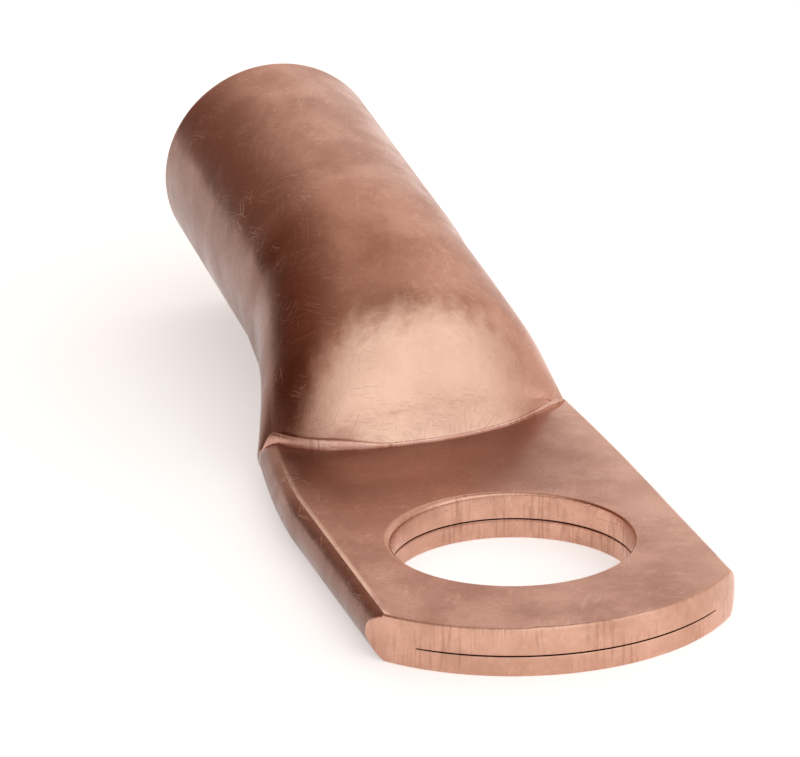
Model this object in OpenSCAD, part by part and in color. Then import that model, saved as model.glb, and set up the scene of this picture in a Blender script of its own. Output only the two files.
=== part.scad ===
// Copper cable lug: one length of tube, round at the wire end and pressed flat at the stud end.
// The stud hole's axis is Z, its centre on the palm's underside is the origin, and the barrel
// points along +X.

/* [Stud hole] */
// Diameter of the clearance hole for the stud
stud_hole_d = 10.5; // [8.4:0.1:11]

/* [Palm] */
// Width of the palm across its two folded sides
palm_w = 16.3; // [15.6:0.1:17.2]
// Thickness of the palm, which is two tube walls pressed together
palm_t = 2.15; // [1.9:0.05:2.5]
// Radius of the rounded tip, drawn about the stud hole
tip_r = 9.9; // [9.2:0.1:11]
// How far each folded side bulges beyond the flat faces
fold_bulge = 0.55; // [0.4:0.05:0.8]

/* [Barrel] */
// Outside diameter of the tube
barrel_d = 11; // [10.6:0.1:11.6]
// Inside diameter of the tube, which takes the conductor
bore_d = 8; // [7.6:0.1:8.4]
// Length of the barrel that stays round
barrel_len = 14.3; // [10:0.1:24]
// Angle by which the barrel rises from the palm
barrel_rise = 5.75; // [3:0.25:8]
// Chamfer on the edges of the barrel's mouth
mouth_chamfer = 0.3; // [0.1:0.05:0.5]

/* [Shoulder] */
// Distance from the stud hole to the foot of the shoulder, on the centre line
foot_x = 12.2; // [11.5:0.1:14]
// How far the foot of the shoulder curves back at its two ends
foot_sweep = 3; // [1.5:0.1:3.5]
// Distance from the stud hole to the start of the round barrel
barrel_x = 25.25; // [24:0.05:28]
// Height of the shoulder's blunt nose above the palm's underside
nose_z = 6.6; // [6:0.1:7.2]
// Height of the lip that the press leaves along the foot, at its tallest
lip_h = 0.45; // [0.2:0.05:0.6]

/* [Seam] */
// Gap left between the two pressed walls
seam_gap = 0.1; // [0.06:0.02:0.16]
// Share of the palm's thickness that lies under the seam
seam_share = 0.4; // [0.35:0.01:0.5]
// Width of the seam, which the folds close at each side
seam_w = 13.2; // [12:0.1:13.6]

/* [Hidden] */
copper = "#b5705a";

barrel_r = barrel_d / 2;
wall = (barrel_d - bore_d) / 2;
rise_tan = tan(barrel_rise);
axis_z = barrel_r * cos(barrel_rise);   // height of the barrel's axis where it starts
seam_z = palm_t * seam_share;

// Round surfaces, and the exact shapes that meet the lofts
curve_fn = 96;
over = 1;               // how far a cutter runs past the face that it opens
skin = 0.08;            // how far a loft's end hides inside the solid that it joins
lap = 0.4;              // length of the loft that hides inside that solid

// Where the throat closes to the seam, behind the foot of the shoulder
throat_x = foot_x + wall;
throat_sweep = 1.8;
// Size of the nip across each corner of the tip
corner_cut = 0.2;

// The lip's face leans back this far, its top ends and its far slope ends this far behind the foot
lip_lean = 0.06;
lip_top = 0.25;
lip_back = 0.4;

// The palm keeps its full width up to here, then narrows towards the shoulder
taper_x = 6;
taper_power = 1.5;
foot_narrow = 1.1;      // how much narrower the palm is at the ends of the shoulder's foot
foot_w = palm_w - foot_narrow;

// Folded side: a circular arc through both faces' edges
fold_r = (pow(palm_t / 2, 2) + pow(fold_bulge, 2)) / (2 * fold_bulge);
fold_angle = asin(palm_t / 2 / fold_r);

// Sections are sampled at equal steps of angle: a fold takes those within fold_span of its side,
// and the seam's sharp edge the one within seam_edge
steps = 60;
fold_span = 18;
seam_edge = 3;
angles = [for (i = [0 : steps - 1]) i * 360 / steps];

// Shape of the shoulder, by the share s of its length, 0 at the foot and 1 at the barrel
nose_share = 0.27;      // share of the length that the blunt nose takes
nose_power = 2.2;
nose_slope = 0.48;      // slope of the ridge line over the nose
flare_share = 0.77;     // share of the length over which the sides spread
flare_power = 1.3;
mid_power = 1.1;        // how fast the widest point climbs from the palm to the barrel's axis
sweep_power = 2.3;      // how the foot's line curves back towards its ends
sweep_fade = 2.15;      // how fast that curve straightens towards the barrel
belly_power = 1.5;      // how much squarer the underside is than an ellipse
belly_peak = 0.7;       // brings the squarest section forward from the middle
blend_share = 0.3;      // share of the length over which the palm's section fades out

// Rings lie close together over the nose, wider apart along the ridge, and stop short of the barrel
nose_rings = 9;
nose_crowding = 1.6;
ridge_rings = 12;
last_share = 0.97;
shoulder_shares = concat(
    [for (i = [1 : nose_rings]) nose_share * pow((i + 0.5) / (nose_rings + 0.5), nose_crowding)],
    [for (i = [1 : ridge_rings]) mix(nose_share, last_share, i / ridge_rings)]
);

// Rings of the narrowing palm, by the share of its length, and those of the lip: each is
// [distance behind the foot, share of the lip's height]
palm_shares = [0.2, 0.45, 0.7, 0.9];
lip_rings = [[0, 0], [lip_lean, 1], [lip_top, 0.9], [lip_back, 0.6]];

// The lip is lowest on the centre line and fades out where the palm's top face ends
lip_low = 0.3;
lip_fade = 8;

function mix(a, b, t) = a + (b - a) * t;
function sgn_pow(v, p) = sign(v) * pow(abs(v), p);

// Cubic from height a with slope da to height b with slope db, over a run of length run
function hermite(a, da, b, db, run, t) =
    a * (1 + 2 * t) * pow(1 - t, 2) + da * run * t * pow(1 - t, 2)
    + b * t * t * (3 - 2 * t) - db * run * t * t * (1 - t);

// Half width of the palm at x
function palm_half(x) =
    palm_w / 2 - (palm_w - foot_w) / 2
    * pow(max(0, (x - taper_x) / (foot_x + foot_sweep - taper_x)), taper_power);

// Point of the palm's flat section at angle a: [y, z], for a half width w
function flat_point(a, w) =
    let (flat = w - fold_bulge, side = sign(cos(a)), tilt = asin(sin(a)))
    abs(tilt) < fold_span
        ? [side * (w - fold_r + fold_r * cos(fold_angle * tilt / fold_span)),
           palm_t / 2 + fold_r * sin(fold_angle * tilt / fold_span)]
        : [flat * cos(a) / cos(fold_span), tilt > 0 ? palm_t : 0];

// Point of a round section at angle a: an ellipse above mid, a squarer curve below it
function round_point(a, w, low, mid, high, belly) =
    let (p = sin(a) < 0 ? 2 / belly : 1)
    [w * sgn_pow(cos(a), p),
     mid + (sin(a) < 0 ? mid - low : high - mid) * sgn_pow(sin(a), p)];

// Sets a section point [y, z] at x, swept back by sweep towards its sides and leaned by lean
function place(p, x, w, sweep, lean) =
    [x + sweep * pow(abs(p[0]) / w, sweep_power) - lean * (p[1] - axis_z), p[0], p[1]];

// Quarter curve that climbs steeply from the foot and levels out over the nose
function nose(s) = sqrt(1 - pow(1 - min(1, s / nose_share), nose_power));

// One section of the shoulder's outside at share s
function shoulder_ring(s) =
    let (
        x = mix(foot_x + lip_back, barrel_x, s),
        w = barrel_r + (foot_w / 2 - barrel_r) * pow(max(0, 1 - s / flare_share), flare_power),
        ridge = hermite(nose_z, nose_slope, 2 * axis_z, rise_tan, barrel_x - foot_x, s),
        high = palm_t + (ridge - palm_t) * nose(s),
        mid = palm_t / 2 + (axis_z - palm_t / 2) * pow(sin(90 * s), mid_power),
        belly = 2 + belly_power * sin(180 * pow(s, belly_peak)),
        flat = pow(max(0, 1 - s / blend_share), 2)
    )
    [for (a = angles)
        let (
            r = round_point(a, w, 0, mid, high, belly),
            f = flat_point(a, w),
            p = [mix(r[0], f[0], flat), sin(a) > 0 ? r[1] : mix(r[1], f[1], flat)]
        )
        place(p, x, w, foot_sweep * pow(1 - s, sweep_fade), rise_tan * s)];

// One section of the palm at x on the centre line, with the top raised by the share rise of the lip
function palm_ring(x, sweep, rise = 0, shrink = 0) =
    let (w = palm_half(x + sweep) - shrink)
    [for (a = angles)
        let (
            f = flat_point(a, w),
            u = abs(f[0]) / w,
            tall = sin(a) > sin(fold_span) ? mix(lip_low, 1, u * u) * (1 - pow(u, lip_fade)) : 0
        )
        place([f[0], f[1] + rise * lip_h * tall], x, w, sweep, 0)];

// Circle of radius r about the barrel's axis, at a distance along it from the barrel's start
function round_ring(r, distance) =
    [for (a = angles)
        [barrel_x + distance * cos(barrel_rise) - r * sin(a) * sin(barrel_rise),
         r * cos(a),
         axis_z + distance * sin(barrel_rise) + r * sin(a) * cos(barrel_rise)]];

// One section of the seam at x on the centre line: two flat faces that meet at the folds
function seam_ring(x, sweep) =
    [for (a = angles)
        let (side = abs(sin(a)) < sin(seam_edge) ? 0 : sign(sin(a)))
        place([seam_w / 2 * cos(a), seam_z + seam_gap / 2 * (1 + side)], x, seam_w / 2, sweep, 0)];

// One section of the throat, the tube's inside, at share s of its length
function throat_ring(s) =
    let (
        x = mix(throat_x, barrel_x, s),
        bore_r = bore_d / 2,
        w = bore_r + (seam_w / 2 - bore_r) * pow(max(0, 1 - s / flare_share), flare_power),
        low = mix(seam_z, axis_z - bore_r * cos(barrel_rise), s * s * (3 - 2 * s)),
        ridge = hermite(nose_z - wall, nose_slope, axis_z + bore_r * cos(barrel_rise), rise_tan,
                        barrel_x - throat_x, s),
        high = seam_z + seam_gap + (ridge - seam_z - seam_gap) * nose(s),
        mid = mix(seam_z + seam_gap / 2, axis_z, pow(sin(90 * s), mid_power))
    )
    [for (a = angles)
        place(round_point(a, w, low, mid, high, 2),
              x, w, throat_sweep * pow(1 - s, sweep_fade), rise_tan * s)];

// Solid skin through rings of points that all have the same count
module loft(rings) {
    n = len(rings[0]);
    m = len(rings);
    polyhedron(
        points = [for (ring = rings) each ring],
        faces = concat(
            [[for (i = [0 : n - 1]) i]],
            [for (j = [0 : m - 2], i = [0 : n - 1])
                [j * n + i, (j + 1) * n + i, (j + 1) * n + (i + 1) % n]],
            [for (j = [0 : m - 2], i = [0 : n - 1])
                [j * n + i, (j + 1) * n + (i + 1) % n, j * n + (i + 1) % n]],
            [[for (i = [n - 1 : -1 : 0]) (m - 1) * n + i]]
        )
    );
}

// Moves its children from the barrel's own axis, along +Z from the barrel's start
module along_barrel(distance = 0)
    translate([barrel_x, 0, axis_z])
        rotate([0, 90 - barrel_rise, 0])
            translate([0, 0, distance])
                children();

// Outline of the palm across its width: flat faces between two bulging folds
module palm_profile() {
    intersection() {
        union() {
            translate([-palm_w / 2 + fold_bulge, 0])
                square([palm_w - 2 * fold_bulge, palm_t]);
            for (side = [-1, 1])
                translate([side * (palm_w / 2 - fold_r), palm_t / 2])
                    circle(r = fold_r, $fn = curve_fn);
        }
        translate([-palm_w, 0])
            square([2 * palm_w, palm_t]);
    }
}

// The flat stud end at its full width, with its rounded tip and nipped corners
module palm_plate() {
    corner_x = sqrt(pow(tip_r, 2) - pow(palm_w / 2, 2));
    difference() {
        intersection() {
            translate([-tip_r - over, 0, 0])
                rotate([90, 0, 90])
                    linear_extrude(height = taper_x + tip_r + over)
                        palm_profile();
            union() {
                translate([0, 0, -over])
                    cylinder(r = tip_r, h = palm_t + 2 * over, $fn = 2 * curve_fn);
                translate([0, -palm_w, -over])
                    cube([taper_x + over, 2 * palm_w, palm_t + 2 * over]);
            }
        }
        for (side = [0, 1])
            mirror([0, side, 0])
                translate([-corner_x, palm_w / 2, -over])
                    rotate([0, 0, asin(corner_x / tip_r) / 2])
                        translate([-palm_w / 4, -corner_cut, 0])
                            cube([palm_w / 2, palm_w / 4, palm_t + 2 * over]);
    }
}

// Narrowing palm, lip and shoulder, from the plate's end to just inside the barrel
module shoulder() {
    loft(concat(
        [palm_ring(taper_x - lap, 0, 0, skin)],
        [for (t = palm_shares) palm_ring(mix(taper_x, foot_x, t), foot_sweep * t * t)],
        [for (lip = lip_rings) palm_ring(foot_x + lip[0], foot_sweep, lip[1])],
        [for (s = shoulder_shares) shoulder_ring(s)],
        [round_ring(barrel_r - skin, lap)]
    ));
}

// Solid of revolution about the barrel's axis: radius r, opening or closing by flare at the mouth
module turned(r, flare, beyond) {
    along_barrel()
        rotate_extrude($fn = curve_fn)
            polygon([
                [0, 0],
                [r, 0],
                [r, barrel_len - mouth_chamfer],
                [r + flare, barrel_len],
                [r + flare, barrel_len + beyond],
                [0, barrel_len + beyond]
            ]);
}

// Hollow of the tube: the bore with its chamfered mouth, and the throat that closes to the seam
module hollow() {
    turned(bore_d / 2, mouth_chamfer, over);
    loft(concat(
        [seam_ring(-tip_r - over, 0), seam_ring(throat_x, throat_sweep)],
        [for (s = shoulder_shares) throat_ring(s)],
        [round_ring(bore_d / 2 - skin, lap)]
    ));
}

module cable_lug() {
    color(copper)
        difference() {
            union() {
                palm_plate();
                shoulder();
                turned(barrel_r, -mouth_chamfer, 0);
            }
            hollow();
            translate([0, 0, -over])
                cylinder(d = stud_hole_d, h = palm_t + 2 * over, $fn = curve_fn);
        }
}

cable_lug();
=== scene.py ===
"""Looks of a copper cable lug: one length of tube, round at one end and pressed flat at the other.

The lug is one mesh of point grids that are welded along their shared edges. Its frame is the
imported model's: the stud hole's centre on the palm's underside is the origin, the barrel points
along +X and +Z is up. All sizes are in metres.
"""

import logging
import math
from dataclasses import dataclass, field
from enum import Enum

import bmesh
import bpy
import numpy as np
from mathutils import Matrix, Vector


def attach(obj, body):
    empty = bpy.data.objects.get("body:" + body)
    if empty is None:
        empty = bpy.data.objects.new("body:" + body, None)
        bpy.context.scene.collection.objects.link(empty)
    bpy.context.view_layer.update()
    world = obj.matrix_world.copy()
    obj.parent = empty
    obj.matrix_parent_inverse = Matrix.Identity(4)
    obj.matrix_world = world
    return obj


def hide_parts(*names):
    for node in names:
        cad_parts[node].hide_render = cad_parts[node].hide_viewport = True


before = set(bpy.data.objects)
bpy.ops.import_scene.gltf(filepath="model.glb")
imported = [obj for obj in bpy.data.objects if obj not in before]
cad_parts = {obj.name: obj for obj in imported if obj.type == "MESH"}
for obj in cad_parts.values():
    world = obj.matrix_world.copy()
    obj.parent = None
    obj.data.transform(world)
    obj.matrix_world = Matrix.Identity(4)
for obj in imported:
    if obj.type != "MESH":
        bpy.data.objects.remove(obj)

MM = 0.001
log = logging.getLogger("cable_lug")


def mix(a, b, t):
    """Blend from a to b by the share t."""
    return a + (b - a) * t


def ease(t: np.ndarray) -> np.ndarray:
    """Smooth step from 0 to 1, flat at both ends, for t held between 0 and 1."""
    t = np.clip(t, 0.0, 1.0)
    return t * t * (3.0 - 2.0 * t)


def hermite(a: float, slope_a: float, b: float, slope_b: float, run: float, t: float) -> float:
    """Cubic from height a to height b with a given slope at each end.

    Args:
        a: Height at the start.
        slope_a: Slope at the start.
        b: Height at the end.
        slope_b: Slope at the end.
        run: Length that t covers as it goes from 0 to 1.
        t: Share of the run.

    Returns:
        The height at t.
    """
    return (
        a * (1 + 2 * t) * (1 - t) ** 2
        + slope_a * run * t * (1 - t) ** 2
        + b * t * t * (3 - 2 * t)
        - slope_b * run * t * t * (1 - t)
    )


def squircle(angles: np.ndarray, power: np.ndarray) -> np.ndarray:
    """Radius factor that turns a circle into a superellipse of the given power."""
    return (np.abs(np.cos(angles)) ** power + np.abs(np.sin(angles)) ** power) ** (-1.0 / power)


class Finish(Enum):
    """The finishes that the lug's surfaces wear, in the order of its material slots."""

    SKIN = 0
    PALM = 1
    SHEARED = 2
    LIP = 3
    INSIDE = 4


class Side(Enum):
    """The two sides of the lug, by the sign of Y."""

    LEFT = 1
    RIGHT = -1


@dataclass
class Weld:
    """Grids of points that share edges, joined into one closed mesh."""

    tolerance: float = 0.002 * MM
    points: list = field(default_factory=list)
    faces: list = field(default_factory=list)
    finishes: list = field(default_factory=list)
    count: int = 0

    def add(self, grid: np.ndarray, finish: Finish, closed: bool = False) -> None:
        """Adds a grid as quads.

        Args:
            grid: Points, rows by columns by 3.
            finish: Finish of its faces.
            closed: True where the last column meets the first.
        """
        rows, columns = grid.shape[:2]
        index = self.count + np.arange(rows * columns).reshape(rows, columns)
        right = np.roll(index, -1, axis=1) if closed else index[:, 1:]
        left = index if closed else index[:, :-1]
        quads = np.stack([left[:-1], right[:-1], right[1:], left[1:]], axis=-1).reshape(-1, 4)
        self.points.append(grid.reshape(-1, 3))
        self.faces.extend(quads.tolist())
        self.finishes.extend([finish.value] * len(quads))
        self.count += rows * columns

    def mesh(self, name: str) -> bpy.types.Mesh:
        """Welds the grids and returns a mesh whose faces all look outward."""
        mesh = bpy.data.meshes.new(name)
        mesh.from_pydata(np.concatenate(self.points).tolist(), [], self.faces)
        mesh.polygons.foreach_set("material_index", self.finishes)
        work = bmesh.new()
        work.from_mesh(mesh)
        bmesh.ops.remove_doubles(work, verts=work.verts, dist=self.tolerance)
        bmesh.ops.dissolve_degenerate(work, edges=work.edges, dist=self.tolerance / 2)
        bmesh.ops.recalc_face_normals(work, faces=work.faces)
        loose = [edge for edge in work.edges if len(edge.link_faces) != 2]
        log.info("%s: %d faces, %d open edges", name, len(work.faces), len(loose))
        work.to_mesh(mesh)
        work.free()
        return mesh


@dataclass
class Barrel:
    """Round end of the tube, which takes the conductor."""

    start: float = 25.25 * MM
    length: float = 14.3 * MM
    radius: float = 5.5 * MM
    bore: float = 4.0 * MM
    rise: float = math.radians(5.75)
    chamfer: float = 0.3 * MM
    rings: int = 72

    @property
    def axis_z(self) -> float:
        """Height of the axis where the barrel starts."""
        return self.radius * math.cos(self.rise)

    @property
    def wall(self) -> float:
        """Thickness of the tube's wall."""
        return self.radius - self.bore

    def ring(self, radius: float, along: float, angles: np.ndarray) -> np.ndarray:
        """Circle of points about the axis.

        Args:
            radius: Its radius.
            along: Distance along the axis from the barrel's start.
            angles: Angles of the points, from +Y towards +Z.

        Returns:
            The points, one row each.
        """
        up = radius * np.sin(angles)
        return np.stack(
            [
                self.start + along * math.cos(self.rise) - up * math.sin(self.rise),
                radius * np.cos(angles),
                self.axis_z + along * math.sin(self.rise) + up * math.cos(self.rise),
            ],
            axis=-1,
        )

    def outside(self, angles: np.ndarray) -> np.ndarray:
        """Rings of the outer wall, from the barrel's start to the middle of the mouth's face."""
        edge = self.chamfer * 0.5
        straight = [(self.radius, d) for d in np.linspace(0, self.length - edge, self.rings)]
        turn = np.linspace(0, math.pi / 2, 5)[1:]
        rounded = [
            (self.radius - edge * (1 - math.cos(t)), self.length - edge * (1 - math.sin(t)))
            for t in turn
        ]
        return np.stack([self.ring(r, d, angles) for r, d in straight + rounded])

    def inside(self, angles: np.ndarray) -> np.ndarray:
        """Rings of the bore, from its chamfered mouth in to the barrel's start."""
        chamfer = [(self.bore + self.chamfer, self.length), (self.bore, self.length - self.chamfer)]
        straight = [(self.bore, d) for d in np.linspace(self.length - self.chamfer, 0, 28)[1:]]
        return np.stack([self.ring(r, d, angles) for r, d in chamfer + straight])


@dataclass
class Palm:
    """Flat end of the tube, with its stud hole, seam, folded sides and rounded tip."""

    hole: float = 5.25 * MM
    half: float = 8.15 * MM
    thick: float = 2.15 * MM
    tip: float = 9.9 * MM
    bulge: float = 0.55 * MM
    front: float = 7.0 * MM
    seam_sample: int = 23
    seam_low: float = 0.885 * MM
    seam_gap: float = 0.05 * MM
    roll: float = 0.22 * MM
    roll_least: float = 0.55
    roll_gain: float = 0.85
    edge: float = 0.09 * MM
    seam_edge: float = 0.04 * MM
    corner_round: float = 0.4 * MM
    corner_share: float = 0.8
    burr: float = 0.05 * MM
    burr_from: float = math.radians(164)
    burr_to: float = math.radians(196)
    burr_fade: float = math.radians(4)
    steps: int = 240
    fold_span: float = math.radians(18)
    rows_top: int = 30
    rows_seam: int = 8
    side_columns: int = 64
    tip_columns: int = 84

    @property
    def fold_radius(self) -> float:
        """Radius of the arc that closes each folded side."""
        return ((self.thick / 2) ** 2 + self.bulge**2) / (2 * self.bulge)

    @property
    def flat(self) -> float:
        """Half width of the flat faces."""
        return self.half - self.bulge

    @property
    def seam_half(self) -> float:
        """Half width of the seam, which ends on one of the top face's samples."""
        angle = self.angles[self.seam_sample]
        return self.flat * math.cos(angle) / math.cos(self.fold_span)

    @property
    def seam_high(self) -> float:
        """Height of the upper wall's inner face."""
        return self.seam_low + self.seam_gap

    @property
    def angles(self) -> np.ndarray:
        """Angles at which each section of the tube is sampled, from +Y towards +Z."""
        return np.arange(self.steps) * 2 * math.pi / self.steps

    def fold_rows(self) -> np.ndarray:
        """Angles of the samples on one fold, from the top face's edge to the bottom one's."""
        count = round(2 * self.fold_span / (2 * math.pi / self.steps)) + 1
        return np.linspace(self.fold_span, -self.fold_span, count)

    def section(self, angles: np.ndarray, half: np.ndarray) -> tuple[np.ndarray, np.ndarray]:
        """Flat section of the palm.

        Args:
            angles: Angles of the samples.
            half: Half width at each sample.

        Returns:
            The samples' Y and Z.
        """
        side = np.sign(np.cos(angles))
        tilt = np.arcsin(np.clip(np.sin(angles), -1, 1))
        swing = math.asin(self.thick / 2 / self.fold_radius) * tilt / self.fold_span
        folded = np.abs(tilt) < self.fold_span * 0.999
        y_fold = side * (half - self.fold_radius + self.fold_radius * np.cos(swing))
        z_fold = self.thick / 2 + self.fold_radius * np.sin(swing)
        y_flat = (half - self.bulge) * np.cos(angles) / math.cos(self.fold_span)
        z_flat = np.where(tilt > 0, self.thick, 0.0)
        return np.where(folded, y_fold, y_flat), np.where(folded, z_fold, z_flat)

    def front_y(self) -> np.ndarray:
        """Samples of Y across the top face at the front line, from right to left."""
        top = self.angles[(np.sin(self.angles) > math.sin(self.fold_span) * 0.999)]
        return self.flat * np.cos(top[::-1]) / math.cos(self.fold_span)

    def corner(self, side: Side, y: float, radius: float) -> float:
        """Angle at which an arc of a given radius is y away from the middle."""
        return math.pi - side.value * math.asin(y / radius)

    def tip_angles(self) -> np.ndarray:
        """Angles of the columns along the tip, from its left corner to its right one."""
        left, right = (self.corner(side, self.flat, self.tip - self.edge) for side in Side)
        seam_l, seam_r = (self.corner(side, self.seam_half, self.tip) for side in Side)
        return np.concatenate(
            [
                np.linspace(left, seam_l, 9)[:-1],
                np.linspace(seam_l, seam_r, self.tip_columns),
                np.linspace(seam_r, right, 9)[1:],
            ]
        )

    def seam_open(self, theta: np.ndarray) -> np.ndarray:
        """How far the seam's edges are rounded at the tip: not at all where the seam ends."""
        across = np.abs(self.tip * np.sin(theta)) / self.seam_half
        return np.clip(1 - across**8, 0, 1)

    def tip_profile(self) -> tuple[np.ndarray, np.ndarray, int]:
        """Heights and insets of the rows down the tip's cut face.

        Returns:
            The heights from the top to the bottom, how far each lies inside the tip's radius,
            and the number of rows above the seam.
        """
        total = len(self.fold_rows())
        above = total // 2 + 1
        turn = np.linspace(0, math.pi / 2, 4)
        top = np.concatenate(
            [
                self.thick - self.edge * (1 - np.cos(turn)),
                np.linspace(self.thick - self.edge, self.seam_high, above - 3)[1:],
            ]
        )
        bottom = np.concatenate(
            [
                np.linspace(self.seam_low, self.edge, total - above - 3)[:-1],
                self.edge * (1 - np.cos(turn[::-1])),
            ]
        )
        inset_top = np.concatenate([self.edge * (1 - np.sin(turn)), np.zeros(len(top) - 4)])
        inset_bottom = np.concatenate(
            [np.zeros(len(bottom) - 4), self.edge * (1 - np.sin(turn[::-1]))]
        )
        return (
            np.concatenate([top, bottom]),
            np.concatenate([inset_top, inset_bottom]),
            len(top),
        )

    def build(self, weld: Weld) -> None:
        """Adds the palm from the tip to its front line, where the shoulder's sections start."""
        heights, insets, above = self.tip_profile()
        fold = self.fold_rows()
        y_fold, z_fold = self.section(fold, np.full(len(fold), self.half))
        tip = self.tip_angles()
        outline = [np.stack([np.full(len(self.front_y()), self.front), self.front_y()], axis=-1)]
        for side, order in ((Side.LEFT, 1), (Side.RIGHT, -1)):
            turn = self.corner_turn(y_fold, insets)
            share = np.linspace(0, 1, self.side_columns)[:, None]
            grid_x = mix(self.front, turn[None, -1, :, 0], share)
            grid = np.stack(
                [
                    grid_x,
                    np.broadcast_to(side.value * y_fold, grid_x.shape),
                    np.broadcast_to(z_fold, grid_x.shape),
                ],
                axis=-1,
            )
            weld.add(grid, Finish.SKIN)
            self.add_corner(weld, side, turn, z_fold, heights, insets)
            line = grid[:, 0, :2]
            if side is Side.LEFT:
                outline.append(line[1:])
                radius = self.tip - self.edge
                outline.append(
                    np.stack([radius * np.cos(tip), radius * np.sin(tip)], axis=-1)[1:-1]
                )
            else:
                outline.append(line[::-1][:-1])
        edge = np.concatenate(outline)
        self.add_faces(weld, edge)
        self.add_tip(weld, tip, heights, insets, above)
        self.add_hole(weld, edge)
        self.add_seam(weld, edge)

    def corner_turn(self, y_fold: np.ndarray, insets: np.ndarray) -> np.ndarray:
        """Rounded corner between the tip's arc and a folded side.

        Args:
            y_fold: Y of the fold's rows, without sign.
            insets: How far each row lies inside the tip's radius.

        Returns:
            X and unsigned Y by step round the corner and by row.
        """
        radius = self.tip - insets
        y_cut = radius * self.flat / (self.tip - self.edge)
        reach = np.clip(self.corner_share * (y_fold - y_cut), 0, self.corner_round)
        sharp = np.stack([-np.sqrt(radius**2 - y_fold**2), y_fold], axis=-1)
        y_start = y_fold - reach
        start = np.stack([-np.sqrt(radius**2 - y_start**2), y_start], axis=-1)
        end = sharp + np.stack([reach, np.zeros_like(reach)], axis=-1)
        t = np.linspace(0, 1, 7)[:, None, None]
        return (1 - t) ** 2 * start + 2 * t * (1 - t) * sharp + t**2 * end

    def add_corner(
        self,
        weld: Weld,
        side: Side,
        turn: np.ndarray,
        z_fold: np.ndarray,
        heights: np.ndarray,
        insets: np.ndarray,
    ) -> None:
        """Adds the part of the cut face that turns into the fold's round section.

        Args:
            weld: Mesh to add to.
            side: The side.
            turn: X and unsigned Y round the corner, from corner_turn.
            z_fold: Heights of the fold's rows.
            heights: Heights of the cut face's rows.
            insets: How far each row lies inside the tip's radius.
        """
        theta = self.corner(Side.LEFT, self.flat, self.tip - self.edge)
        radius = self.tip - insets
        share = np.linspace(0, 1, 6)[:, None]
        y = mix(radius * math.sin(theta), turn[0, :, 1], share)
        x = -np.sqrt(radius**2 - y**2)
        x[0] = radius * math.cos(theta)
        z = mix(heights[None, :], z_fold[None, :], share)
        flat = np.stack([x, y], axis=-1)
        plan = np.concatenate([flat, turn[1:]])
        z = np.concatenate([z, np.broadcast_to(z_fold, turn.shape[:2])[1:]])
        plan[..., 1] *= side.value
        weld.add(np.concatenate([plan, z[..., None]], axis=-1), Finish.SHEARED)

    def burr_height(self, theta: np.ndarray) -> np.ndarray:
        """Height of the burr that the shearing left on the tip's top edge."""
        turned = np.mod(theta, 2 * math.pi)
        from_left = ease((turned - self.burr_from) / self.burr_fade)
        to_right = 1 - ease((turned - self.burr_to) / self.burr_fade)
        ragged = 0.75 + 0.25 * np.sin(turned * 140) * np.sin(turned * 61)
        return self.burr * from_left * to_right * ragged

    def roll_at(self, ray: np.ndarray) -> np.ndarray:
        """Radius of the hole's rolled rim, largest towards the left."""
        leftward = np.clip(ray[:, 1] * 0.9 + ray[:, 0] * 0.45, 0, 1) ** 1.5
        return self.roll * (self.roll_least + self.roll_gain * leftward)

    def add_faces(self, weld: Weld, edge: np.ndarray) -> None:
        """Adds the flat top and bottom between the hole's rounded rims and the outline."""
        reach = np.linalg.norm(edge, axis=1)
        ray = edge / reach[:, None]
        share = np.append(np.linspace(0, 0.98, self.rows_top), 1.0)[:, None]
        on_tip = (reach < self.tip - self.edge * 0.9) & (reach > self.tip - self.edge * 1.1)
        burr = np.where(on_tip, self.burr_height(np.arctan2(edge[:, 1], edge[:, 0])), 0.0)
        for z, rim, rise in (
            (self.thick, self.roll_at(ray), burr),
            (0.0, np.full(len(ray), self.edge), np.zeros(len(ray))),
        ):
            distance = mix(self.hole + rim[None, :], reach[None, :], share)
            height = np.full(distance.shape, z)
            height[-1] += rise
            weld.add(
                np.concatenate([distance[..., None] * ray[None], height[..., None]], axis=-1),
                Finish.PALM,
                closed=True,
            )

    def add_tip(
        self,
        weld: Weld,
        theta: np.ndarray,
        heights: np.ndarray,
        insets: np.ndarray,
        above: int,
    ) -> None:
        """Adds the tip's cut face, split by the seam where the two walls aren't folded together.

        Args:
            weld: Mesh to add to.
            theta: Angles of the columns.
            heights: Heights of the rows.
            insets: How far each row lies inside the tip's radius.
            above: Number of rows above the seam.
        """
        radius = np.broadcast_to(self.tip - insets, (len(theta), len(insets)))
        grid = np.stack(
            [
                radius * np.cos(theta)[:, None],
                radius * np.sin(theta)[:, None],
                np.broadcast_to(heights, radius.shape),
            ],
            axis=-1,
        )
        grid[:, 0, 2] += self.burr_height(theta)
        grid[:, 1, 2] += 0.6 * self.burr_height(theta)
        first, last = 8, len(theta) - 8
        weld.add(grid[: first + 1], Finish.SHEARED)
        weld.add(grid[last - 1 :], Finish.SHEARED)
        split = grid[first:last]
        open_by = self.seam_edge * self.seam_open(theta[first:last])
        turn = np.linspace(0, math.pi / 2, 3)
        for rows, sign in ((split[:, :above].copy(), 1), (split[:, above:][:, ::-1].copy(), -1)):
            rows[:, -1, 2] += sign * open_by
            rounded = []
            level = self.seam_high if sign == 1 else self.seam_low
            for t in turn[1:]:
                r = self.tip - open_by * (1 - math.cos(t))
                z = level + sign * open_by * (1 - math.sin(t))
                angle = theta[first:last]
                rounded.append(np.stack([r * np.cos(angle), r * np.sin(angle), z], axis=-1))
            weld.add(np.concatenate([rows, np.stack(rounded, axis=1)], axis=1), Finish.SHEARED)

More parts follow.
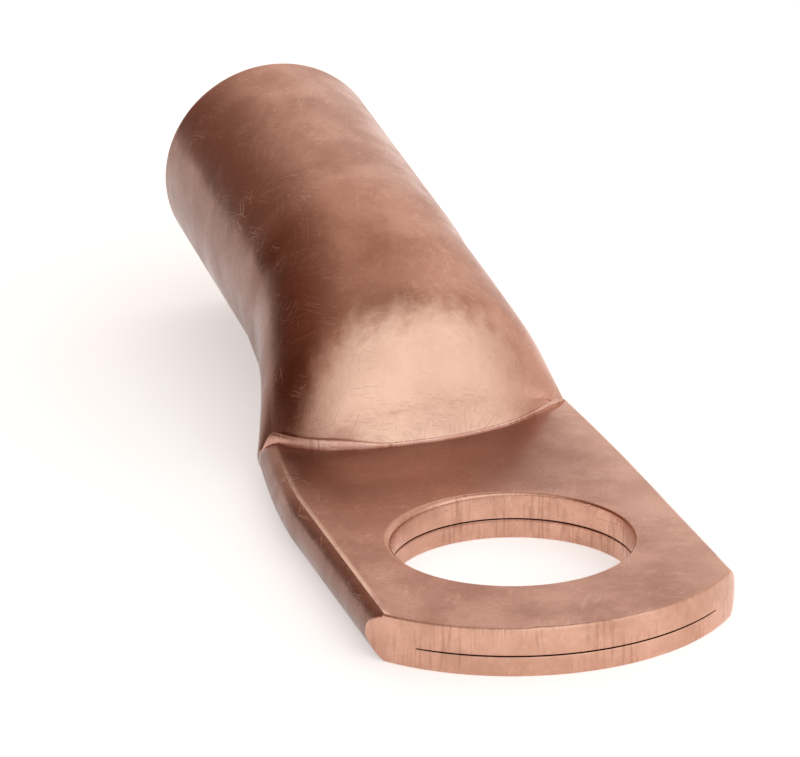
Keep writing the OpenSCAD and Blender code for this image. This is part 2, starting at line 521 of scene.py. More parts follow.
    def add_hole(self, weld: Weld, edge: np.ndarray) -> None:
        """Adds the stud hole's wall: a rolled top rim, two walls that the seam parts, an edge."""
        ray = edge / np.linalg.norm(edge, axis=1)[:, None]
        roll = self.roll_at(ray)
        lip = self.seam_edge
        small = np.linspace(0, math.pi / 2, 3)
        upper = [
            (self.hole + roll * (1 - math.sin(t)), self.thick - roll * (1 - math.cos(t)))
            for t in np.linspace(0, math.pi / 2, 7)
        ]
        upper += [
            (self.hole, mix(self.thick - roll, self.seam_high + lip, t))
            for t in np.linspace(0, 1, 8)[1:]
        ]
        upper += [
            (self.hole + lip * (1 - math.cos(t)), self.seam_high + lip * (1 - math.sin(t)))
            for t in small[1:]
        ]
        lower = [
            (self.hole + self.edge * (1 - math.sin(t)), self.edge * (1 - math.cos(t)))
            for t in small
        ]
        lower += [
            (self.hole, z) for z in np.linspace(self.edge, self.seam_low - lip, 6)[1:]
        ]
        lower += [
            (self.hole + lip * (1 - math.cos(t)), self.seam_low - lip * (1 - math.sin(t)))
            for t in small[1:]
        ]
        across, up = ray[:, 0], ray[:, 1]
        for profile in (upper, lower):
            rows = [np.broadcast_arrays(r * across, r * up, z) for r, z in profile]
            grid = np.stack([np.stack(row, axis=-1) for row in rows])
            weld.add(grid, Finish.SHEARED, closed=True)

    def add_seam(self, weld: Weld, edge: np.ndarray) -> None:
        """Adds the two inner faces of the seam and closes it where the walls fold together."""
        theta = np.arctan2(edge[:, 1], edge[:, 0])
        ray = np.stack([np.cos(theta), np.sin(theta)], axis=-1)
        tip = self.tip - self.seam_edge * self.seam_open(theta)
        with np.errstate(divide="ignore"):
            side = self.seam_half / np.abs(np.sin(theta))
            front = np.where(np.cos(theta) > 0, self.front / np.cos(theta), np.inf)
        reach = np.minimum(np.where(np.cos(theta) < 0, tip, np.inf), np.minimum(side, front))
        share = np.linspace(0, 1, self.rows_seam)[:, None]
        distance = mix(self.hole + self.seam_edge, reach[None, :], share)
        flat = distance[..., None] * ray[None]
        for z in (self.seam_high, self.seam_low):
            level = np.full(distance.shape + (1,), z)
            weld.add(np.concatenate([flat, level], axis=-1), Finish.INSIDE, closed=True)
        outer = flat[-1]
        for sign in (1, -1):
            held = np.flatnonzero(
                (np.abs(np.abs(outer[:, 1]) - self.seam_half) < self.seam_edge / 50)
                & (np.sign(outer[:, 1]) == sign)
            )
            line = outer[held]
            line = line[np.argsort(line[:, 0])]
            grid = np.stack(
                [
                    np.concatenate([line, np.full((len(line), 1), z)], axis=-1)
                    for z in (self.seam_high, self.seam_low)
                ]
            )
            weld.add(grid, Finish.INSIDE)


@dataclass
class Shoulder:
    """Narrowing palm, pressed lip and shoulder, from the palm's front line to the barrel."""

    palm: Palm
    barrel: Barrel
    foot: float = 12.17 * MM
    sweep: float = 3.0 * MM
    sweep_left: float = 2.85 * MM
    sweep_right: float = 3.6 * MM
    sweep_left_power: float = 4.4
    sweep_right_power: float = 2.0
    throat_sweep: float = 0.6
    narrow_left: float = 0.85 * MM
    narrow_right: float = 0.2 * MM
    nose_z: float = 6.6 * MM
    nose_slope: float = 0.48
    nose_share: float = 0.27
    nose_power: float = 2.2
    flare_share: float = 0.77
    flare_power: float = 1.3
    mid_power: float = 1.1
    sweep_fade: float = 2.15
    belly_power: float = 1.5
    blend_share: float = 0.3
    lip_mid: float = 0.11 * MM
    lip_left: float = 0.31 * MM
    lip_right: float = 0.17 * MM
    lip_back: float = 0.4 * MM
    left_span: tuple = (0.22, 0.38)
    right_span: tuple = (0.55, 0.4)
    end_span: tuple = (0.84, 0.12)
    groove: float = 0.1 * MM
    lead_rings: int = 26
    nose_rings: int = 34
    ridge_rings: int = 50

    def half(self, x: np.ndarray, angles: np.ndarray) -> np.ndarray:
        """Half width of the narrowing palm at x, for samples on either side."""
        share = np.clip((x - self.palm.front) / (self.foot + self.sweep - self.palm.front), 0, 2)
        left = self.palm.half - self.narrow_left * share**1.5
        right = self.palm.half - self.narrow_right * share**1.5
        return mix(right, left, (1 + np.cos(angles)) / 2)

    def place(
        self, x: float, y: np.ndarray, z: np.ndarray, half: np.ndarray, sweep: float, lean: float
    ) -> np.ndarray:
        """Sets a section at x, swept back towards its sides and leaned with the barrel.

        Args:
            x: Place on the centre line.
            y: Y of the samples.
            z: Z of the samples.
            half: Half width at each sample.
            sweep: Share of the full sweep by which the sides are set back.
            lean: Slope by which the section leans back.

        Returns:
            The points, one row each.
        """
        across = np.abs(y) / half
        left = self.sweep_left * across**self.sweep_left_power
        right = self.sweep_right * across**self.sweep_right_power
        back = sweep * np.where(y > 0, left, right)
        return np.stack([x + back - lean * (z - self.barrel.axis_z), y, z], axis=-1)

    def lip(self, angles: np.ndarray, across: np.ndarray) -> np.ndarray:
        """Height of the lip at each sample: tall at the left end, low in the middle.

        Args:
            angles: Angles of the samples.
            across: Their Y as a share of the half width.

        Returns:
            The heights, which fade out on the folds and are nothing on the underside.
        """
        left, right, end = (
            ease((sign * across - start) / run)
            for sign, (start, run) in (
                (1, self.left_span),
                (-1, self.right_span),
                (-1, self.end_span),
            )
        )
        height = self.lip_mid + self.lip_left * left + self.lip_right * right
        tilt = np.where(np.sin(angles) > 0, np.arcsin(np.clip(np.sin(angles), -1, 1)), 0.0)
        return height * (1 - end) * ease(tilt / self.palm.fold_span * 1.5 - 0.5)

    def palm_ring(self, x: float, sweep: float, back: float = 0.0, lift: float = 0.0) -> np.ndarray:
        """Section of the narrowing palm.

        Args:
            x: Place on the centre line.
            sweep: Share of the full sweep.
            back: How far behind x the ring lies, as a share of the lip's height.
            lift: How far it is raised, as a share of the lip's height.

        Returns:
            The points, one row each.
        """
        a = self.palm.angles
        half = self.half(np.full(len(a), x + sweep * self.sweep), a)
        y, z = self.palm.section(a, half)
        lip = self.lip(a, y / half)
        ring = self.place(x, y, z + lift * lip, half, sweep, 0.0)
        ring[:, 0] += back * lip
        return ring

    def nose(self, s: float) -> float:
        """Share of the ridge's height that the outside has reached at share s of the length."""
        return math.sqrt(1 - (1 - min(1.0, s / self.nose_share)) ** self.nose_power)

    def ring(self, s: float) -> np.ndarray:
        """Section of the shoulder's outside at share s of its length."""
        palm, barrel = self.palm, self.barrel
        a = palm.angles
        x = mix(self.foot + self.lip_back, barrel.start, s)
        foot_half = self.half(np.full(len(a), self.foot + self.sweep), a)
        flare = max(0.0, 1 - s / self.flare_share) ** self.flare_power
        w = barrel.radius + (foot_half - barrel.radius) * flare
        slope = math.tan(barrel.rise)
        run = barrel.start - self.foot
        ridge = hermite(self.nose_z, self.nose_slope, 2 * barrel.axis_z, slope, run, s)
        high = palm.thick + (ridge - palm.thick) * self.nose(s)
        mid = palm.thick / 2 + (barrel.axis_z - palm.thick / 2) * (
            math.sin(math.pi / 2 * s) ** self.mid_power
        )
        belly = 2 + self.belly_power * math.sin(math.pi * s**0.7)
        above = np.sin(a) >= 0
        factor = squircle(a, np.where(above, 2.0, belly))
        y = w * np.cos(a) * factor
        z = mid + np.where(above, high - mid, mid) * np.sin(a) * factor
        flat_y, flat_z = palm.section(a, w)
        flat = max(0.0, 1 - s / self.blend_share) ** 2
        y = mix(y, flat_y, flat)
        z = np.where(above, z, mix(z, flat_z, flat))
        return self.place(x, y, z, w, (1 - s) ** self.sweep_fade, slope * s)

    def outside(self) -> tuple[np.ndarray, np.ndarray, np.ndarray]:
        """Rings of the narrowing palm, of the lip's face and of the shoulder."""
        groove = self.foot - self.groove
        lead = [
            self.palm_ring(mix(self.palm.front, groove, t), t * t)
            for t in np.linspace(0, 1, self.lead_rings)
        ]
        lip = [lead[-1], self.palm_ring(self.foot - self.groove / 2, 1.0, 0.0, -0.1)]
        face = ((0.0, -0.06), (0.04, 0.3), (0.12, 0.62), (0.23, 0.87), (0.36, 0.98), (0.48, 1.0))
        lip += [self.palm_ring(self.foot, 1.0, back, lift) for back, lift in face]
        crest = ((0.6, 0.96), (0.75, 0.8), (0.9, 0.55), (1.0, 0.4))
        dome = [lip[-1]]
        dome += [self.palm_ring(self.foot, 1.0, back, lift) for back, lift in crest]
        nose = self.nose_share * np.linspace(0.12, 1, self.nose_rings) ** 1.6
        ridge = np.linspace(self.nose_share, 1, self.ridge_rings)[1:]
        dome += [self.ring(s) for s in np.concatenate([nose, ridge[:-1]])]
        dome.append(self.barrel.ring(self.barrel.radius, 0.0, self.palm.angles))
        return np.stack(lead), np.stack(lip), np.stack(dome)

    def inner_angles(self) -> np.ndarray:
        """Angles of the samples round the inside, which fall on the seam's own samples of Y."""
        y = self.palm.front_y()
        y = y[np.abs(y) < self.palm.seam_half * 1.0001]
        top = np.arccos(y[::-1] / (self.palm.seam_half * 1.0006))
        return np.concatenate([top, -top[::-1]])

    def seam_ring(self, x: float, sweep: float) -> np.ndarray:
        """Section of the seam."""
        a = self.inner_angles()
        y = self.palm.seam_half * 1.0006 * np.cos(a)
        z = np.where(a > 0, self.palm.seam_high, self.palm.seam_low)
        half = np.full(len(a), self.palm.seam_half)
        return self.place(x, y, z, half, sweep, 0.0)

    def throat_ring(self, s: float) -> np.ndarray:
        """Section of the tube's inside at share s of its length."""
        palm, barrel = self.palm, self.barrel
        a = self.inner_angles()
        start = self.foot + barrel.wall
        x = mix(start, barrel.start, s)
        flare = max(0.0, 1 - s / self.flare_share) ** self.flare_power
        w = barrel.bore + (palm.seam_half - barrel.bore) * flare
        slope = math.tan(barrel.rise)
        floor = barrel.axis_z - barrel.bore * math.cos(barrel.rise)
        roof = barrel.axis_z + barrel.bore * math.cos(barrel.rise)
        low = mix(palm.seam_low, floor, s * s * (3 - 2 * s))
        ridge = hermite(
            self.nose_z - barrel.wall, self.nose_slope, roof, slope, barrel.start - start, s
        )
        high = palm.seam_high + (ridge - palm.seam_high) * self.nose(s)
        centre = palm.seam_low + palm.seam_gap / 2
        mid = mix(centre, barrel.axis_z, math.sin(math.pi / 2 * s) ** self.mid_power)
        y = w * np.cos(a)
        z = mid + np.where(a > 0, high - mid, mid - low) * np.sin(a)
        half = np.full(len(a), w)
        sweep = self.throat_sweep * (1 - s) ** self.sweep_fade
        return self.place(x, y, z, half, sweep, slope * s)

    def inside(self) -> np.ndarray:
        """Rings of the seam and the throat, from the palm's front line to the bore."""
        start = self.foot + self.barrel.wall
        rings = [
            self.seam_ring(mix(self.palm.front, start, t), self.throat_sweep * t)
            for t in np.linspace(0, 1, 14)
        ]
        nose = self.nose_share * np.linspace(0.1, 1, 12) ** 1.6
        ridge = np.linspace(self.nose_share, 1, 22)[1:]
        rings += [self.throat_ring(s) for s in np.concatenate([nose, ridge[:-1]])]
        rings.append(self.barrel.ring(self.barrel.bore, 0.0, self.inner_angles()))
        return np.stack(rings)


@dataclass
class Lug:
    """The whole lug as one closed mesh, worn and dressed."""

    palm: Palm
    barrel: Barrel
    shoulder: Shoulder
    level: float = 0.9
    sharp: float = math.radians(32)

    def build(self) -> bpy.types.Object:
        """Builds the mesh and returns its object."""
        weld = Weld()
        self.palm.build(weld)
        lead, lip, dome = self.shoulder.outside()
        weld.add(lead, Finish.PALM, closed=True)
        weld.add(lip, Finish.LIP, closed=True)
        angles = self.palm.angles
        outer = self.barrel.outside(angles)
        weld.add(np.concatenate([dome, outer[1:]]), Finish.SKIN, closed=True)
        inner_angles = self.shoulder.inner_angles()
        inner = self.barrel.inside(inner_angles)
        weld.add(
            np.concatenate([self.shoulder.inside(), inner[::-1][1:]]), Finish.INSIDE, closed=True
        )
        self.add_mouth(weld, outer[-1], inner[0])
        mesh = weld.mesh("lug_body")
        piece = bpy.data.objects.new("lug_body", mesh)
        bpy.context.scene.collection.objects.link(piece)
        for face in mesh.polygons:
            on_palm = face.material_index == Finish.PALM.value
            if on_palm and abs(face.normal.z) < self.level and face.center.x > self.palm.front:
                face.material_index = Finish.SKIN.value
        mesh.polygons.foreach_set("use_smooth", [True] * len(mesh.polygons))
        mesh.set_sharp_from_angle(angle=self.sharp)
        return piece

    def add_mouth(self, weld: Weld, outer: np.ndarray, inner: np.ndarray) -> None:
        """Joins the outer and inner rings of the mouth, which have different counts.

        Args:
            weld: Mesh to add to.
            outer: Outermost ring of the mouth's flat face.
            inner: Innermost ring of that face.
        """
        angles = self.palm.angles
        inner_angles = np.mod(self.shoulder.inner_angles(), 2 * math.pi)
        base = weld.count
        weld.points.append(np.concatenate([outer, inner]))
        weld.count += len(outer) + len(inner)
        order = np.argsort(inner_angles)
        i = j = 0
        n, m = len(outer), len(inner)
        while i < n or j < m:
            out_now, out_next = base + i % n, base + (i + 1) % n
            in_now = base + n + order[j % m]
            in_next = base + n + order[(j + 1) % m]
            next_out = angles[(i + 1) % n] + 2 * math.pi * ((i + 1) // n)
            next_in = inner_angles[order[(j + 1) % m]] + 2 * math.pi * ((j + 1) // m)
            if j >= m or (i < n and next_out <= next_in):
                weld.faces.append([out_now, out_next, int(in_now)])
                i += 1
            else:
                weld.faces.append([int(in_next), int(in_now), out_now])
                j += 1
            weld.finishes.append(Finish.SHEARED.value)


class Nodes:
    """Short calls for building a node tree."""

    def __init__(self, tree: bpy.types.NodeTree) -> None:
        """Keeps the tree and empties it."""
        self.tree = tree
        tree.nodes.clear()

    def add(self, kind: str, inputs: dict | None = None, **settings: object) -> bpy.types.Node:
        """Adds a node.

        Args:
            kind: Its type name, without the leading ShaderNode.
            inputs: Values or output sockets, by the input's name or number.
            **settings: Properties of the node.

        Returns:
            The node.
        """
        node = self.tree.nodes.new("ShaderNode" + kind)
        for key, value in settings.items():
            setattr(node, key, value)
        for key, value in (inputs or {}).items():
            if isinstance(value, bpy.types.NodeSocket):
                self.tree.links.new(value, node.inputs[key])
            else:
                node.inputs[key].default_value = value
        return node

    def math(self, operation: str, a: object, b: object = 0.0) -> bpy.types.NodeSocket:
        """Output of a math node."""
        return self.add("Math", {0: a, 1: b}, operation=operation).outputs[0]

    def place(self, scale: tuple, turn: tuple = (0, 0, 0)) -> bpy.types.NodeSocket:
        """The surface's own coordinates in millimetres, turned and then stretched by scale."""
        where = self.add("TexCoord").outputs["Object"]
        turned = self.add("Mapping", {"Vector": where, "Rotation": turn}).outputs[0]
        size = tuple(s / MM for s in scale)
        return self.add("Mapping", {"Vector": turned, "Scale": size}).outputs[0]

    def noise(self, where: object, scale: float, detail: float = 3.0) -> bpy.types.NodeSocket:
        """Output of a noise texture between 0 and 1."""
        return self.add(
            "TexNoise", {"Vector": where, "Scale": scale, "Detail": detail}
        ).outputs["Fac"]

    def ramp(self, value: object, low: float, high: float) -> bpy.types.NodeSocket:
        """Smooth step of a value between low and high."""
        return self.add(
            "MapRange",
            {"Value": value, "From Min": low, "From Max": high},
            interpolation_type="SMOOTHSTEP",
        ).outputs[0]

    def along(self, axis: str) -> bpy.types.NodeSocket:
        """Coordinate of the surface on one axis, in millimetres."""
        return self.add("SeparateXYZ", {0: self.place((1, 1, 1))}).outputs[axis]

    def vector(self, operation: str, a: object, b: object = (0, 0, 0)) -> bpy.types.Node:
        """A vector math node."""
        return self.add("VectorMath", {0: a, 1: b}, operation=operation)

    def facing(self, way: tuple) -> bpy.types.NodeSocket:
        """How far the surface faces a direction fixed on the lug, from -1 to 1."""
        normal = self.add("TexCoord").outputs["Normal"]
        return self.vector("DOT_PRODUCT", normal, Vector(way).normalized()).outputs["Value"]

    def blend(self, share: object, a: object, b: object) -> bpy.types.NodeSocket:
        """Colour blended from a to b."""
        node = self.add("Mix", {0: share}, data_type="RGBA")
        for number, value in ((6, a), (7, b)):
            if isinstance(value, bpy.types.NodeSocket):
                self.tree.links.new(value, node.inputs[number])
            else:
                node.inputs[number].default_value = (*value, 1.0)
        return node.outputs[2]


@dataclass(frozen=True)
class Copper:
    """Bare copper: mottled between two colours, scuffed, finely scratched and pitted."""

    name: str
    bright: tuple = (0.60, 0.325, 0.235)
    dull: tuple = (0.46, 0.22, 0.152)
    scuff: tuple = (0.80, 0.53, 0.41)
    scuff_share: float = 0.42
    rough: float = 0.28
    rough_by: float = 0.12
    mottle: float = 0.4
    mottle_span: tuple = (0.42, 0.85)
    wave: float = 0.02
    scratch: float = 0.004
    pit: float = 0.012
    scratch_turns: tuple = (0.3, 1.1, 2.2, 2.9)

    def scuffs(self, nodes: Nodes) -> bpy.types.NodeSocket:
        """Soft wisps a millimetre or two long, in patches, where the copper is rubbed pale."""
        total = None
        for number, turn in enumerate((0.5, 1.9)):
            where = nodes.place((0.55, 2.6, 1.6), (0.5 * number, 0.2, turn))
            line = nodes.ramp(nodes.noise(where, 1.1, 4.0), 0.56, 0.76)
            patch = nodes.ramp(nodes.noise(nodes.place((1, 1, 1), (turn, 0, 0)), 0.28), 0.42, 0.66)
            mark = nodes.math("MULTIPLY", line, patch)
            total = mark if total is None else nodes.math("MAXIMUM", total, mark)
        return total

    def scratches(self, nodes: Nodes) -> bpy.types.NodeSocket:
        """Hair lines that run several ways, each way in patches of its own."""
        total = None
        for number, turn in enumerate(self.scratch_turns):
            where = nodes.place((0.1, 1.5, 0.7), (0.4 * number, 0.3, turn))
            apart = nodes.math("SUBTRACT", nodes.noise(where, 1.7, 1.0), 0.5)
            apart = nodes.math("ABSOLUTE", apart)
            line = nodes.ramp(apart, 0.012, 0.002)
            patch = nodes.ramp(nodes.noise(nodes.place((1, 1, 1), (0, turn, 0)), 0.5), 0.52, 0.62)
            mark = nodes.math("MULTIPLY", line, patch)
            total = mark if total is None else nodes.math("MAXIMUM", total, mark)
        return total

    def pits(self, nodes: Nodes) -> bpy.types.NodeSocket:
        """Small round dents, more in some patches than in others."""
        where = nodes.place((1, 1, 1), (0.3, 0.8, 0.1))
        near = nodes.add("TexVoronoi", {"Vector": where, "Scale": 1.6}).outputs["Distance"]
        patch = nodes.ramp(nodes.noise(where, 0.45), 0.45, 0.7)
        return nodes.math("MULTIPLY", nodes.ramp(near, 0.16, 0.02), patch)

    def pressed_highlight_share(self, nodes: Nodes) -> object:
        """How far the surface was pressed and frosted by the die, from 0 to 1; on the skin its pale
        colour is also a painted highlight.
        """
        return 0.0

    def layers(self, nodes: Nodes, colour: object, pressed: object) -> bpy.types.NodeSocket:
        """Colour with what only this kind of surface has laid over it."""
        return colour

    def relief(self, nodes: Nodes, pressed: object) -> object:
        """Height in millimetres of what only this kind of surface has."""
        return 0.0

    def make(self) -> bpy.types.Material:
        """Builds the material."""
        material = bpy.data.materials.new(self.name)
        material.use_nodes = True
        nodes = Nodes(material.node_tree)
        where = nodes.place((1, 1, 1))
        cloud = nodes.noise(where, self.mottle, 5.0)
        speck = nodes.noise(where, 4.0, 3.0)
        cloud = nodes.math("ADD", cloud, nodes.math("MULTIPLY", speck, 0.25))
        share = nodes.ramp(cloud, *self.mottle_span)
        scuffs = self.scuffs(nodes)
        scratches = self.scratches(nodes)
        # Where the die pressed: frosted, and on the skin also painted pale as a highlight.
        pressed = self.pressed_highlight_share(nodes)
        rubbed = nodes.math("MAXIMUM", scuffs, nodes.math("MULTIPLY", scratches, 0.7))
        rubbed = nodes.math("MULTIPLY", rubbed, self.scuff_share)
        colour = nodes.blend(share, self.dull, self.bright)
        colour = nodes.blend(rubbed, colour, self.scuff)
        colour = self.layers(nodes, colour, pressed)
        height = nodes.math("MULTIPLY", nodes.noise(where, 0.6, 2.0), self.wave)
        for mark, depth in ((scratches, self.scratch), (self.pits(nodes), self.pit)):
            height = nodes.math("SUBTRACT", height, nodes.math("MULTIPLY", mark, depth))
        height = nodes.math("ADD", height, self.relief(nodes, pressed))
        polish = nodes.math("MULTIPLY", nodes.math("SUBTRACT", share, pressed), self.rough_by)
        rough = nodes.math("SUBTRACT", self.rough + self.rough_by / 2, polish)
        bump = nodes.add("Bump", {"Strength": 1.0, "Distance": MM, "Height": height})
        shader = nodes.add(
            "BsdfPrincipled",
            {
                "Base Color": colour,
                "Metallic": 1.0,
                "Roughness": rough,
                "Normal": bump.outputs[0],
            },
        )
        nodes.add("OutputMaterial", {"Surface": shader.outputs[0]})
        return material


@dataclass(frozen=True)
class Skin(Copper):
    """Drawn tube: painted shade low on its left, and pale on the nose where the die pressed it,
    which is also a painted highlight.
    """

    # Painted shade: the side that faces left and down is darkened, more so towards the shoulder.
    side_shade: tuple = (0.20, 0.085, 0.055)
    side_shade_way: tuple = (-0.12, 0.86, -0.5)
    side_shade_span: tuple = (0.37, 0.90)
    side_shade_share: float = 0.92
    shoulder_shade_span: tuple = (27.0, 21.0)
    shoulder_shade_gain: float = 0.1
    # Pale copper where the die pressed the nose, which is also a painted highlight on its forward
    # faces.
    pressed: tuple = (0.81, 0.54, 0.415)
    pressed_highlight_span: tuple = (17.5, 14.5)
    pressed_highlight_half: tuple = (7.0, 2.5)
    pressed_highlight_tint: float = 0.85
    peel: float = 0.035

    def pressed_highlight_share(self, nodes: Nodes) -> object:
        """How far the surface was pressed: on the nose, with a ragged border; its pale colour there
        is also a painted highlight.
        """
        where = nodes.place((1, 1, 1))
        ragged = nodes.math("MULTIPLY", nodes.noise(where, 1.3, 4.0), 0.7)
        ahead = nodes.math("ADD", nodes.facing((-1.0, 0.0, 0.0)), ragged)
        ahead = nodes.ramp(ahead, 0.7, 1.15)
        near = nodes.ramp(nodes.along("X"), *self.pressed_highlight_span)
        inner = nodes.ramp(nodes.math("ABSOLUTE", nodes.along("Y")), *self.pressed_highlight_half)
        return nodes.math("MULTIPLY", nodes.math("MULTIPLY", ahead, near), inner)

    def layers(self, nodes: Nodes, colour: object, pressed: object) -> bpy.types.NodeSocket:
        """Colour with the painted shade on the left and the pale pressed nose, also a painted
        highlight, laid over it.
        """
        # Painted shade on the side that faces left and down, spread further towards the shoulder.
        facing = nodes.facing(self.side_shade_way)
        ragged = nodes.math("MULTIPLY", nodes.noise(nodes.place((1, 1, 1)), 0.7, 4.0), 0.3)
        lower = nodes.ramp(nodes.along("X"), *self.shoulder_shade_span)
        lower = nodes.math("MULTIPLY", lower, self.shoulder_shade_gain)
        facing = nodes.math("ADD", nodes.math("ADD", facing, ragged), lower)
        dark = nodes.ramp(facing, *self.side_shade_span)
        dark = nodes.math("MULTIPLY", dark, self.side_shade_share)
        colour = nodes.blend(dark, colour, self.side_shade)
        # Pale pressed copper on the nose, also a painted highlight.
        pale = nodes.math("MULTIPLY", pressed, self.pressed_highlight_tint)
        return nodes.blend(pale, colour, self.pressed)

    def relief(self, nodes: Nodes, pressed: object) -> object:
        """Orange peel where the die pressed the nose."""
        peel = nodes.noise(nodes.place((1, 1, 1), (0.2, 0.5, 0.9)), 1.7, 3.0)
        return nodes.math("MULTIPLY", nodes.math("MULTIPLY", peel, pressed), self.peel)


@dataclass(frozen=True)
class Flat(Copper):
    """Pressed palm: painted shade behind the die's step, rubbed pale along its right edge, and a
    painted highlight along its left edge.
    """

    # Painted shade on the palm towards the crease, deepest by the lip; left_span and right_span
    # keep it off the palm's sides.
    shaded: tuple = (0.25, 0.105, 0.07)
    shaded_span: tuple = (3.0, 8.5)
    shaded_share: float = 0.85
    deep_shade: tuple = (0.15, 0.05, 0.03)
    deep_shade_span: tuple = (9.5, 13.0)
    deep_shade_share: float = 0.6
    left_span: tuple = (7.3, 5.3)
    right_span: tuple = (-7.6, -2.5)
    worn_span: tuple = (-4.8, -7.6)
    worn_share: float = 0.35
    # A painted highlight along the palm's left edge, where the flat top meets the fold; it follows
    # the edge as it narrows.
    taper_start: float = 7.0
    edge_half: float = 7.6
    edge_narrow: float = 0.036
    edge_highlight_span: tuple = (-0.28, -0.1)
    edge_highlight: tuple = (0.92, 0.66, 0.53)
    edge_highlight_share: float = 0.85

    def layers(self, nodes: Nodes, colour: object, pressed: object) -> bpy.types.NodeSocket:
        """Colour with the rubbed right edge, the painted shade by the lip and the painted highlight
        along the left edge laid over it.
        """
        x, y = nodes.along("X"), nodes.along("Y")
        worn = nodes.math("MULTIPLY", nodes.ramp(y, *self.worn_span), self.worn_share)
        colour = nodes.blend(worn, colour, self.scuff)
        left, right = (nodes.ramp(y, *span) for span in (self.left_span, self.right_span))
        inner = nodes.math("MULTIPLY", left, right)
        # Painted shade towards the crease, and deeper shade next to the lip.
        for span, tone, share in (
            (self.shaded_span, self.shaded, self.shaded_share),
            (self.deep_shade_span, self.deep_shade, self.deep_shade_share),
        ):
            near = nodes.math("MULTIPLY", nodes.ramp(x, *span), inner)
            colour = nodes.blend(nodes.math("MULTIPLY", near, share), colour, tone)
        # Painted highlight along the left edge, in patches.
        past = nodes.math("MAXIMUM", nodes.math("SUBTRACT", x, self.taper_start), 0.0)
        narrowed = nodes.math("MULTIPLY", nodes.math("POWER", past, 1.5), self.edge_narrow)
        out = nodes.math("ADD", nodes.math("SUBTRACT", y, self.edge_half), narrowed)
        patch = nodes.ramp(nodes.noise(nodes.place((1, 1, 1)), 0.5), 0.3, 0.55)
        edge = nodes.math("MULTIPLY", nodes.ramp(out, *self.edge_highlight_span), patch)
        return nodes.blend(
            nodes.math("MULTIPLY", edge, self.edge_highlight_share), colour, self.edge_highlight
        )


@dataclass(frozen=True)
class Sheared(Copper):
    """Cut or torn copper with marks that run down it."""

    stripes: tuple = (7.0, 7.0, 0.45)
    stripe_depth: float = 0.012
    stripe_colour: tuple = (0.42, 0.21, 0.14)
    stripe_share: float = 0.6

    def lines(self, nodes: Nodes) -> bpy.types.NodeSocket:
        """Lines down the cut, between 0 and 1."""
        return nodes.noise(nodes.place(self.stripes), 1.0, 3.0)

    def relief(self, nodes: Nodes, pressed: object) -> object:
        """Height of the lines in millimetres."""
        return nodes.math("MULTIPLY", self.lines(nodes), self.stripe_depth)

    def layers(self, nodes: Nodes, colour: object, pressed: object) -> bpy.types.NodeSocket:
        """Colour with darker lines, in patches."""
        patch = nodes.ramp(nodes.noise(nodes.place((1, 1, 1)), 0.6), 0.4, 0.65)
        dark = nodes.math("MULTIPLY", nodes.ramp(self.lines(nodes), 0.52, 0.36), patch)
        dark = nodes.math("MULTIPLY", dark, self.stripe_share)
        return nodes.blend(dark, colour, self.stripe_colour)


FINISHES = {
    Finish.SKIN: Skin("copper_skin"),
    Finish.PALM: Flat("copper_palm", bright=(0.585, 0.315, 0.235), dull=(0.44, 0.215, 0.155)),
    Finish.SHEARED: Sheared(
        "copper_sheared", bright=(0.72, 0.42, 0.315), dull=(0.56, 0.31, 0.22), wave=0.01
    ),
    Finish.LIP: Sheared(
        "copper_lip",
        bright=(0.78, 0.52, 0.43),
        dull=(0.58, 0.32, 0.25),
        stripes=(0.6, 9.0, 0.6),
        stripe_depth=0.02,
    ),
    # Duller, darker copper inside the tube; in the seam's slit this darkness is painted shade.
    Finish.INSIDE: Copper("copper_inside", bright=(0.42, 0.21, 0.14), dull=(0.25, 0.12, 0.08)),
}


@dataclass(frozen=True)
class Glow:
    """A patch of the room's light: full within one angle of its middle, gone past another."""

    azimuth: float
    elevation: float
    full: float
    edge: float
    colour: tuple

    def toward(self) -> Vector:
        """Direction of the patch's middle."""
        az, el = math.radians(self.azimuth), math.radians(self.elevation)
        return Vector((math.cos(az) * math.cos(el), math.sin(az) * math.cos(el), math.sin(el)))


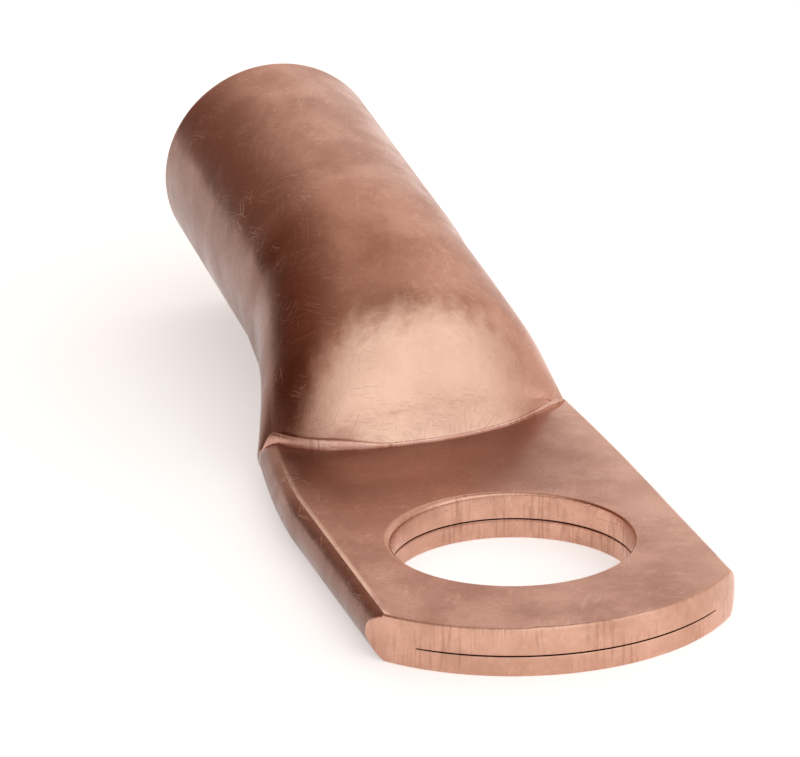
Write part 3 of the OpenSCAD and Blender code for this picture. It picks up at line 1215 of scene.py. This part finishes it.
@dataclass
class Studio:
    """Pale floor, soft light and the camera."""

    azimuth: float = -16.223
    elevation: float = 20.325
    roll: float = -0.715
    lens: float = 219.3
    place: tuple = (-184.849 * MM, 58.753 * MM, 81.336 * MM)
    floor_half: float = 1.5
    floor_lift: float = 0.46
    room: tuple = (0.76, 0.64, 0.58)
    glows: tuple = (
        Glow(0, 90, 8, 34, (0.5, 0.4, 0.35)),
        Glow(60, 15, 22, 62, (0.19, 0.083, 0.055)),
        Glow(315, 15, 18, 50, (1.0, 0.91, 0.86)),
        Glow(168, 20, 10, 58, (0.85, 0.85, 0.85)),
        Glow(205, 20, 25, 62, (1.3, 1.3, 1.3)),
    )

    def camera(self) -> None:
        """Sets the camera at its place, looking along its azimuth and down by its elevation."""
        az, el, roll = (math.radians(v) for v in (self.azimuth, self.elevation, self.roll))
        ahead = Vector((math.cos(az) * math.cos(el), math.sin(az) * math.cos(el), -math.sin(el)))
        right = ahead.cross(Vector((0, 0, 1))).normalized()
        up = right.cross(ahead)
        right, up = (
            math.cos(roll) * right + math.sin(roll) * up,
            -math.sin(roll) * right + math.cos(roll) * up,
        )
        data = bpy.data.cameras.new("camera")
        data.lens = self.lens
        data.sensor_width = 36
        data.clip_start = 0.01
        camera = bpy.data.objects.new("camera", data)
        turn = Matrix((right, up, -ahead)).transposed().to_4x4()
        camera.matrix_world = Matrix.Translation(self.place) @ turn
        bpy.context.scene.collection.objects.link(camera)
        bpy.context.scene.camera = camera

    def floor(self) -> None:
        """Lays a pale floor under the lug."""
        mesh = bpy.data.meshes.new("floor")
        size = self.floor_half
        corners = [(-size, -size, 0), (size, -size, 0), (size, size, 0), (-size, size, 0)]
        mesh.from_pydata(corners, [], [(0, 1, 2, 3)])
        floor = bpy.data.objects.new("floor", mesh)
        material = bpy.data.materials.new("floor_white")
        material.use_nodes = True
        nodes = Nodes(material.node_tree)
        shader = nodes.add(
            "BsdfPrincipled", {"Base Color": (0.9, 0.9, 0.9, 1.0), "Roughness": 0.9}
        )
        path = nodes.add("LightPath").outputs
        seen = nodes.math("MAXIMUM", path["Is Camera Ray"], path["Is Glossy Ray"])
        seen = nodes.math("MAXIMUM", seen, path["Is Transmission Ray"])
        lift = nodes.add("Emission", {"Strength": nodes.math("MULTIPLY", seen, self.floor_lift)})
        both = nodes.add("AddShader", {0: shader.outputs[0], 1: lift.outputs[0]})
        nodes.add("OutputMaterial", {"Surface": both.outputs[0]})
        mesh.materials.append(material)
        bpy.context.scene.collection.objects.link(floor)

    def world(self) -> None:
        """Lights the room: an even level, with its glows blended over it in their order."""
        world = bpy.data.worlds.new("room")
        world.use_nodes = True
        nodes = Nodes(world.node_tree)
        ahead = nodes.add("TexCoord").outputs["Generated"]
        colour = self.room
        for glow in self.glows:
            toward = nodes.vector("DOT_PRODUCT", ahead, glow.toward()).outputs["Value"]
            edge, full = (math.cos(math.radians(angle)) for angle in (glow.edge, glow.full))
            colour = nodes.blend(nodes.ramp(toward, edge, full), colour, glow.colour)
        sky = nodes.add("Background", {"Color": colour, "Strength": 1.0})
        nodes.add("OutputWorld", {"Surface": sky.outputs[0]})
        bpy.context.scene.world = world

    def build(self) -> None:
        """Sets up the whole studio."""
        self.camera()
        self.floor()
        self.world()
        bpy.context.scene.view_settings.view_transform = "Standard"


def main() -> None:
    """Builds the lug, dresses it and sets up the studio."""
    logging.basicConfig(level=logging.INFO, format="%(name)s: %(message)s")
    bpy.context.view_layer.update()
    palm = Palm()
    barrel = Barrel()
    piece = Lug(palm, barrel, Shoulder(palm, barrel)).build()
    for finish in Finish:
        piece.data.materials.append(FINISHES[finish].make())
    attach(piece, "root")
    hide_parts("cable_lug")
    log.info("%s: %d faces", piece.name, len(piece.data.polygons))
    Studio().build()


if __name__ == "__main__":
    main()
